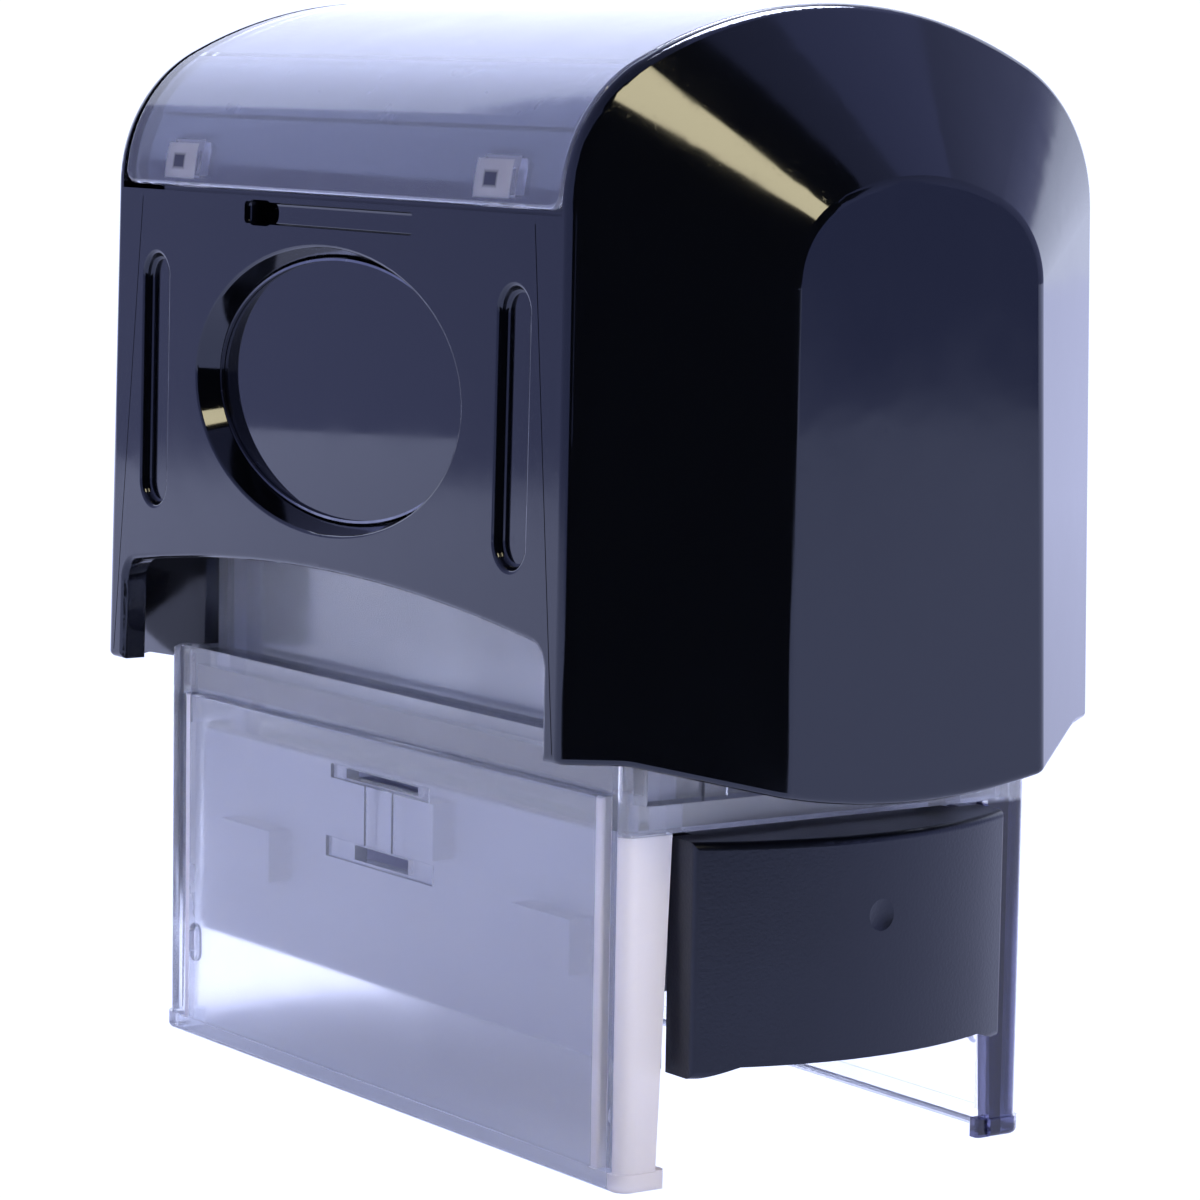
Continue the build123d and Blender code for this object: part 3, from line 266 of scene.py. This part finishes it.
def inked_felt():
    """Wool felt soaked with black ink: matted fibres with a damp sheen. The fibres are drawn as
    tufts 0.4 mm wide, because a single one is too fine to show."""
    made, tree, out = blank_material("inked felt")
    fibre = speckle(tree, 0.4, 0.0, 1.0, 5.0, (0.35, 1, 1))
    damp = speckle(tree, 4.0, 0.45, 0.75)
    bump = put(tree, "Bump", {"Strength": 0.9, "Distance": 0.2 * MM}, {"Height": fibre})
    shader = put(tree, "BsdfPrincipled",
                 {"Base Color": linear("#14141c"), "Sheen Weight": 0.3, "Sheen Roughness": 0.5},
                 {"Roughness": damp, "Normal": bump.outputs["Normal"]})
    tree.links.new(shader.outputs[0], out.inputs["Surface"])
    return made


def printing_rubber():
    """Red-brown printing rubber, matt and slightly dusty, inked dark in patches. Its pores are
    drawn as 0.3 mm, several times their real size, so that they show."""
    made, tree, out = blank_material("printing rubber")
    patch = speckle(tree, 3.0, 0.0, 1.0)
    tone = put(tree, "ValToRGB", {}, {"Fac": patch})
    tone.color_ramp.elements[0].color = linear("#5a2f28")
    tone.color_ramp.elements[1].color = linear("#8a4a3c")
    pores = speckle(tree, 0.3, 0.0, 1.0)
    bump = put(tree, "Bump", {"Strength": 0.3, "Distance": 0.04 * MM}, {"Height": pores})
    shader = put(tree, "BsdfPrincipled", {"Roughness": 0.7, "IOR": 1.52},
                 {"Base Color": tone.outputs["Color"], "Normal": bump.outputs["Normal"]})
    tree.links.new(shader.outputs[0], out.inputs["Surface"])
    return made


def fine_foam():
    """Fine closed-cell foam, cut from sheet: pale, matt and pored, with cells of a third of a
    millimetre."""
    made, tree, out = blank_material("fine foam")
    place = put(tree, "TexCoord")
    cells = put(tree, "TexVoronoi", {"Scale": per(0.35)}, {"Vector": place.outputs["Object"]})
    bump = put(tree, "Bump", {"Strength": 0.8, "Distance": 0.1 * MM}, {"Height": cells.outputs["Distance"]})
    # The colour darkens towards the middle of each cell, where the bump sinks into a pore: painted shade in
    # the pores
    tone = put(tree, "ValToRGB", {}, {"Fac": cells.outputs["Distance"]})
    tone.color_ramp.elements[0].color = linear("#a3a29b")
    tone.color_ramp.elements[1].color = linear("#cbcac3")
    shader = put(tree, "BsdfPrincipled", {"Roughness": 0.85},
                 {"Base Color": tone.outputs["Color"], "Normal": bump.outputs["Normal"]})
    tree.links.new(shader.outputs[0], out.inputs["Surface"])
    return made


def drawn_steel():
    """Drawn steel wire and turned pins: bright, with upright streaks in the gloss. The streaks are
    drawn a quarter of a millimetre wide, coarser than real ones, so that they show."""
    made, tree, out = blank_material("drawn steel")
    lines = speckle(tree, 0.25, 0.16, 0.34, 2.0, (1, 1, 0.1))
    shader = put(tree, "BsdfPrincipled",
                 {"Base Color": linear("#b9bbc0"), "Metallic": 1.0},
                 {"Roughness": lines})
    tree.links.new(shader.outputs[0], out.inputs["Surface"])
    return made


cap_black = gloss_black_abs()
slate = satin_plastic("satin black ABS", "#08090e", 0.28, 0.36, 0.25)
guide_grey = satin_plastic("satin grey acetal", "#9394ab", 0.3, 0.42, 0.03)
base_clear = clear_styrene("hazy clear styrene", "#ecf0fa", 0.86, 0.1, 0.18, FROSTED_HIGHLIGHT_BASE, 0.4, PAINTED_SHADE_BASE)
lid_clear = clear_styrene("polished clear styrene", "#d9def4", 0.96, 0.05, 0.11,
                          FROSTED_HIGHLIGHT_HOOKS, 0.85, PAINTED_SHADE_NOTCHES)
disc_black = polished_disc()
trim = dark_chrome()
card_blue = coated_card()
felt_black = inked_felt()
rubber_red = printing_rubber()
foam_pale = fine_foam()
steel = drawn_steel()

dress("cap_shell", cap_black)
dress("base_frame", base_clear)
dress("lid", lid_clear)
for end in ("front", "rear"):
    dress(f"badge_disc_{end}", disc_black)
    dress(f"trim_ring_{end}", trim)
    dress(f"guide_plate_{end}", guide_grey)
for node in ("end_cover_left", "cassette_grip", "cassette_tray"):
    dress(node, slate)
for node in ("drive_yoke", "carriage"):
    dress(node, guide_grey)
for node in ("yoke_screws", "axle_pin_left", "axle_pin_right"):
    dress(node, steel)
dress("index_card", card_blue)
dress("text_plate", rubber_red)


# ---------------------------------------------------------------- springs, ink pad and cushion

def start_piece(name):
    """Names the primitive just added and opens it for editing with everything selected."""
    made = bpy.context.object
    made.name = name
    bpy.ops.object.transform_apply(location=True, rotation=True, scale=True)
    bpy.ops.object.mode_set(mode="EDIT")
    bpy.ops.mesh.select_all(action="SELECT")
    return made


def compression_spring(name):
    """Wound wire with closed ends, trimmed top and bottom, standing on the middle axis. The trim is
    rough: bisect keeps the points that lie within its threshold of the cut, 0.1 mm at this scale,
    so the ends aren't quite flat and some of the faces that fill them are stray."""
    bpy.ops.object.select_all(action="DESELECT")
    grind = 0.5 * WIRE_R              # depth to take off the end turns
    foot = SPRING_FOOT + WIRE_R - grind
    climb = SPRING_TOP - SPRING_FOOT - 2 * (WIRE_R - grind)
    closed_rise = 2.1 * WIRE_R / STEPS_PER_TURN       # just over one wire thickness per turn
    closed_steps = CLOSED_TURNS * STEPS_PER_TURN
    active_steps = ACTIVE_TURNS * STEPS_PER_TURN
    active_rise = (climb - 2 * closed_steps * closed_rise) / active_steps
    rises = [closed_rise] * closed_steps + [active_rise] * active_steps + [closed_rise] * closed_steps
    bpy.ops.mesh.primitive_circle_add(vertices=10, radius=WIRE_R * MM, fill_type="NGON",
                                      location=(SPRING_R * MM, 0, foot * MM), rotation=(pi / 2, 0, 0))
    made = start_piece(name)
    for rise in rises:
        bpy.ops.mesh.extrude_region_move(TRANSFORM_OT_translate={"value": (0, 0, rise * MM)})
        bpy.ops.transform.rotate(value=tau / STEPS_PER_TURN, orient_axis="Z", center_override=(0, 0, 0))
    for height, upward in ((SPRING_FOOT, -1), (SPRING_TOP, 1)):
        bpy.ops.mesh.select_all(action="SELECT")
        bpy.ops.mesh.bisect(plane_co=(0, 0, height * MM), plane_no=(0, 0, upward),
                            use_fill=True, clear_outer=True)
    bpy.ops.mesh.select_all(action="SELECT")
    bpy.ops.mesh.normals_make_consistent(inside=False)
    bpy.ops.object.mode_set(mode="OBJECT")
    bpy.ops.object.shade_smooth_by_angle(angle=radians(40))
    made.data.materials.append(steel)
    return made


def soft_block(name, node, edge, swell, grain, material):
    """A soft block in the place of its CAD solid, with rounded edges and a slightly uneven surface;
    edge, swell and grain in millimetres."""
    low, high = (Vector(corner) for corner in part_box(node))
    bpy.ops.object.select_all(action="DESELECT")
    bpy.ops.mesh.primitive_cube_add(size=1.0, location=(low + high) / 2, scale=high - low)
    made = start_piece(name)
    bpy.ops.mesh.bevel(offset=edge * MM, segments=4, affect="EDGES")
    bpy.ops.object.mode_set(mode="OBJECT")
    remesh = made.modifiers.new("even mesh", "REMESH")
    remesh.mode = "VOXEL"
    remesh.voxel_size = 0.35 * MM
    bpy.ops.object.modifier_apply(modifier=remesh.name)
    clouds = bpy.data.textures.new(name + " unevenness", "CLOUDS")
    clouds.noise_scale = grain * MM
    uneven = made.modifiers.new("uneven", "DISPLACE")
    uneven.texture = clouds
    uneven.texture_coords = "LOCAL"
    uneven.strength = swell * MM
    uneven.mid_level = 1.0
    bpy.ops.object.modifier_apply(modifier=uneven.name)
    bpy.ops.object.shade_smooth()
    made.data.materials.append(material)
    return made


first_spring = compression_spring("coil_spring_right")
second_spring = first_spring.copy()
second_spring.data = first_spring.data.copy()
second_spring.name = "coil_spring_left"
bpy.context.scene.collection.objects.link(second_spring)
for spring, side, stand_in in ((first_spring, 1, "return_spring_right"),
                               (second_spring, -1, "return_spring_left")):
    spring.data.transform(Matrix.Translation((side * SPRING_X * MM, 0, 0)))
    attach(spring, "base")
    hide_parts(stand_in)
    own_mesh(spring)

felt_pad = soft_block("felt_pad", "ink_pad", 0.5, 0.25, 1.4, felt_black)
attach(felt_pad, "cassette")
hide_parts("ink_pad")

foam_cushion = soft_block("foam_cushion", "plate_cushion", 0.2, 0.08, 1.0, foam_pale)
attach(foam_cushion, "carriage")
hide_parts("plate_cushion")


# ---------------------------------------------------------------- studio

def direction(azimuth, elevation=0.0):
    """Unit vector from the object towards these angles; azimuth 0 is in front, 90 at the right."""
    a, e = radians(azimuth), radians(elevation)
    return Vector((sin(a) * cos(e), -cos(a) * cos(e), sin(e)))


def glow(name, colour, strength):
    """Plain light-emitting surface for the studio."""
    made, tree, out = blank_material(name)
    light = put(tree, "Emission", {"Color": linear(colour), "Strength": strength})
    tree.links.new(light.outputs[0], out.inputs["Surface"])
    return made


def card(name, azimuth, elevation, distance, width, height, colour, strength):
    """A studio card that faces the object. It shows in reflections and adds light, but neither the
    camera nor the clear plastic sees it. Angles in degrees, the rest in metres."""
    towards = direction(azimuth, elevation)
    bpy.ops.object.select_all(action="DESELECT")
    bpy.ops.mesh.primitive_plane_add(size=1.0)
    made = bpy.context.object
    made.name = name
    made.scale = (width, height, 1)
    made.rotation_euler = (-towards).to_track_quat("Z", "Y").to_euler()
    made.location = towards * distance
    made.data.materials.append(glow(name, colour, strength))
    made.visible_camera = False
    made.visible_transmission = False
    made.visible_shadow = False
    return made


def softbox(name, azimuth, elevation, distance, width, colour, watts):
    """A square softbox aimed at the object. Angles in degrees, sizes in metres."""
    lamp_data = bpy.data.lights.new(name, "AREA")
    lamp_data.size = width
    lamp_data.energy = watts
    lamp_data.color = linear(colour)[:3]
    made = bpy.data.objects.new(name, lamp_data)
    made.location = direction(azimuth, elevation) * distance
    made.rotation_euler = direction(azimuth, elevation).to_track_quat("Z", "Y").to_euler()
    bpy.context.scene.collection.objects.link(made)
    return made


VIEW_AZIMUTH = 55.16          # where the camera stands, in degrees
VIEW_ELEVATION = 6.91
VIEW_ROLL = 0.937
CAMERA_PLACE = (306.2, -211.2, 85.7)      # in millimetres
LENS = 134.6

towards_camera = direction(VIEW_AZIMUTH)
across = Vector((cos(radians(VIEW_AZIMUTH)), sin(radians(VIEW_AZIMUTH)), 0))

# Daylight white, and the dimmer room round the table
DAYLIGHT = "#dde4ff"
DAYLIGHT_LEVEL = 1.45
ROOM = "#bac2ff"
ROOM_LEVEL = 0.83

# Edges of the white sheet in metres from the object, towards the camera and across the view
SHEET_NEAR, SHEET_FAR = 0.46, -3.0
SHEET_LEFT, SHEET_RIGHT = -0.62, 2.4


def sheet_paper():
    """White paper: shaded by the object where it is seen through the clear plastic, an even glow
    that is brighter at the back where it is mirrored, and plain white to the camera."""
    made, tree, out = blank_material("white sheet")
    path = put(tree, "LightPath")
    face = put(tree, "BsdfDiffuse", {"Color": linear("#fbfbff")})
    place = put(tree, "TexCoord")
    forward = put(tree, "VectorMath", {1: towards_camera}, {0: place.outputs["Object"]},
                  operation="DOT_PRODUCT")
    falling = put(tree, "MapRange", {"From Min": -0.5, "From Max": 0.0, "To Min": 2.1, "To Max": 1.42},
                  {"Value": forward.outputs["Value"]})
    even = put(tree, "Emission", {"Color": linear("#d3d9ff")}, {"Strength": falling.outputs["Result"]})
    mirror_ray = put(tree, "Math", {},
                     {0: path.outputs["Is Glossy Ray"], 1: path.outputs["Is Transmission Ray"]},
                     operation="SUBTRACT", use_clamp=True)
    mirrored = put(tree, "MixShader", {}, {0: mirror_ray.outputs[0], 1: face.outputs[0], 2: even.outputs[0]})
    bright = put(tree, "Emission", {"Color": linear(DAYLIGHT), "Strength": DAYLIGHT_LEVEL})
    both = put(tree, "MixShader", {},
               {0: path.outputs["Is Camera Ray"], 1: mirrored.outputs[0], 2: bright.outputs[0]})
    tree.links.new(both.outputs[0], out.inputs["Surface"])
    return made


# The sheet lies under the object and ends a little beyond the camera
sheet_mesh = bpy.data.meshes.new("white_sheet")
corners = [towards_camera * forward + across * sideways
           for forward, sideways in ((SHEET_FAR, SHEET_LEFT), (SHEET_NEAR, SHEET_LEFT),
                                     (SHEET_NEAR, SHEET_RIGHT), (SHEET_FAR, SHEET_RIGHT))]
sheet_mesh.from_pydata(corners, [], [(0, 1, 2, 3)])
sheet = bpy.data.objects.new("white_sheet", sheet_mesh)
bpy.context.scene.collection.objects.link(sheet)
sheet_mesh.materials.append(sheet_paper())

# What the gloss mirrors: the dark room behind the camera, the white backdrop, a window with the
# dark wall round it, an upright blue wall at the right, and the ceiling
card("dark_card", 68, 18, 1.6, 3.4, 2.2, "#000000", 0.0)
card("backdrop_card", -125, 18, 1.5, 3.0, 1.5, DAYLIGHT, 1.45 * DAYLIGHT_LEVEL)
card("window_card", 81, 53.5, 1.3, 0.46, 0.36, "#ffecb3", 12.0)
card("window_frame", 82, 54, 1.35, 1.15, 0.62, "#000000", 0.0)
right_card = card("right_card", 127, 0, 1.94, 1.3, 0.9, "#aab4f6", 0.74)
right_card.rotation_euler = (pi / 2, 0, radians(29.1))
right_card.location.z = 0.45
card("ceiling_card", 180, 62, 1.4, 0.9, 0.9, "#a9b1f0", 0.93)

# What shows through the clear plastic: the dim room, and a darker low strip close behind
room_behind = card("room_behind", VIEW_AZIMUTH + 180, 0, 0.24, 1.6, 0.3, "#9092b2", 1.0)
dim_behind = card("dim_behind", VIEW_AZIMUTH + 180, 0, 0.07, 0.3, 0.03, "#3a3a48", 1.0)
dim_behind.location.z = 0.0165
for screen in (room_behind, dim_behind):
    screen.visible_transmission = True
    screen.visible_glossy = False
    screen.visible_diffuse = False

# A black mat on the sheet, towards the camera, for the gloss to mirror
dark_mat = card("dark_mat", 55, 0, 0.42, 0.5, 0.34, "#000000", 0.0)
dark_mat.rotation_euler = (0, 0, radians(VIEW_AZIMUTH))
dark_mat.location.z = 0.5 * MM

softbox("overhead_softbox", -150, 65, 1.25, 0.5, "#eaeeff", 24.0)
side_fill = softbox("side_fill", 92, 12, 1.0, 0.4, "#eef0fa", 3.7)
side_fill.visible_glossy = False


def studio_room():
    """The room that mirrors see, dimmer towards the ceiling, and the white that the camera and
    the light through clear plastic see. To light that met nothing matt on its way through, the
    white fades to dark on the camera's side."""
    made = bpy.data.worlds.new("studio")
    made.use_nodes = True
    tree = made.node_tree
    tree.nodes.clear()
    out = put(tree, "OutputWorld")
    place = put(tree, "TexCoord")
    height = put(tree, "SeparateXYZ", {}, {"Vector": place.outputs["Generated"]})
    ceiling = put(tree, "MapRange", {"From Min": 0.35, "From Max": 0.95, "To Min": 1.0, "To Max": 0.4},
                  {"Value": height.outputs["Z"]})
    level = put(tree, "Math", {1: ROOM_LEVEL}, {0: ceiling.outputs["Result"]}, operation="MULTIPLY")
    room = put(tree, "Background", {"Color": linear(ROOM)}, {"Strength": level.outputs[0]})
    path = put(tree, "LightPath")
    forward = put(tree, "VectorMath", {1: towards_camera}, {0: place.outputs["Generated"]},
                  operation="DOT_PRODUCT")
    behind = put(tree, "MapRange", {"From Min": -0.1, "From Max": 0.3, "To Min": 1.0, "To Max": 0.03},
                 {"Value": forward.outputs["Value"]})
    free = put(tree, "Math", {}, {0: path.outputs["Diffuse Depth"], 1: path.outputs["Is Camera Ray"]},
               operation="ADD")
    lit = put(tree, "Math", {}, {0: behind.outputs["Result"], 1: free.outputs[0]},
              operation="MAXIMUM", use_clamp=True)
    white_level = put(tree, "Math", {1: DAYLIGHT_LEVEL}, {0: lit.outputs[0]}, operation="MULTIPLY")
    white = put(tree, "Background", {"Color": linear(DAYLIGHT)}, {"Strength": white_level.outputs[0]})
    seen = put(tree, "Math", {}, {0: path.outputs["Is Camera Ray"], 1: path.outputs["Is Transmission Ray"]},
               operation="MAXIMUM")
    both = put(tree, "MixShader", {}, {0: seen.outputs[0], 1: room.outputs[0], 2: white.outputs[0]})
    tree.links.new(both.outputs[0], out.inputs["Surface"])
    return made


bpy.context.scene.world = studio_room()

camera_data = bpy.data.cameras.new("camera")
camera_data.sensor_width = 36.0
camera_data.lens = LENS
camera_data.clip_start = 0.01
camera_data.clip_end = 20.0
camera = bpy.data.objects.new("camera", camera_data)
bpy.context.scene.collection.objects.link(camera)
back = direction(VIEW_AZIMUTH, VIEW_ELEVATION)
up = direction(VIEW_AZIMUTH + 180, 90 - VIEW_ELEVATION)
roll = radians(VIEW_ROLL)
right_axis = cos(roll) * across + sin(roll) * up
up_axis = cos(roll) * up - sin(roll) * across
camera.matrix_world = Matrix((
    (right_axis.x, up_axis.x, back.x, CAMERA_PLACE[0] * MM),
    (right_axis.y, up_axis.y, back.y, CAMERA_PLACE[1] * MM),
    (right_axis.z, up_axis.z, back.z, CAMERA_PLACE[2] * MM),
    (0, 0, 0, 1)))
bpy.context.scene.camera = camera
bpy.context.scene.view_settings.view_transform = "Standard"
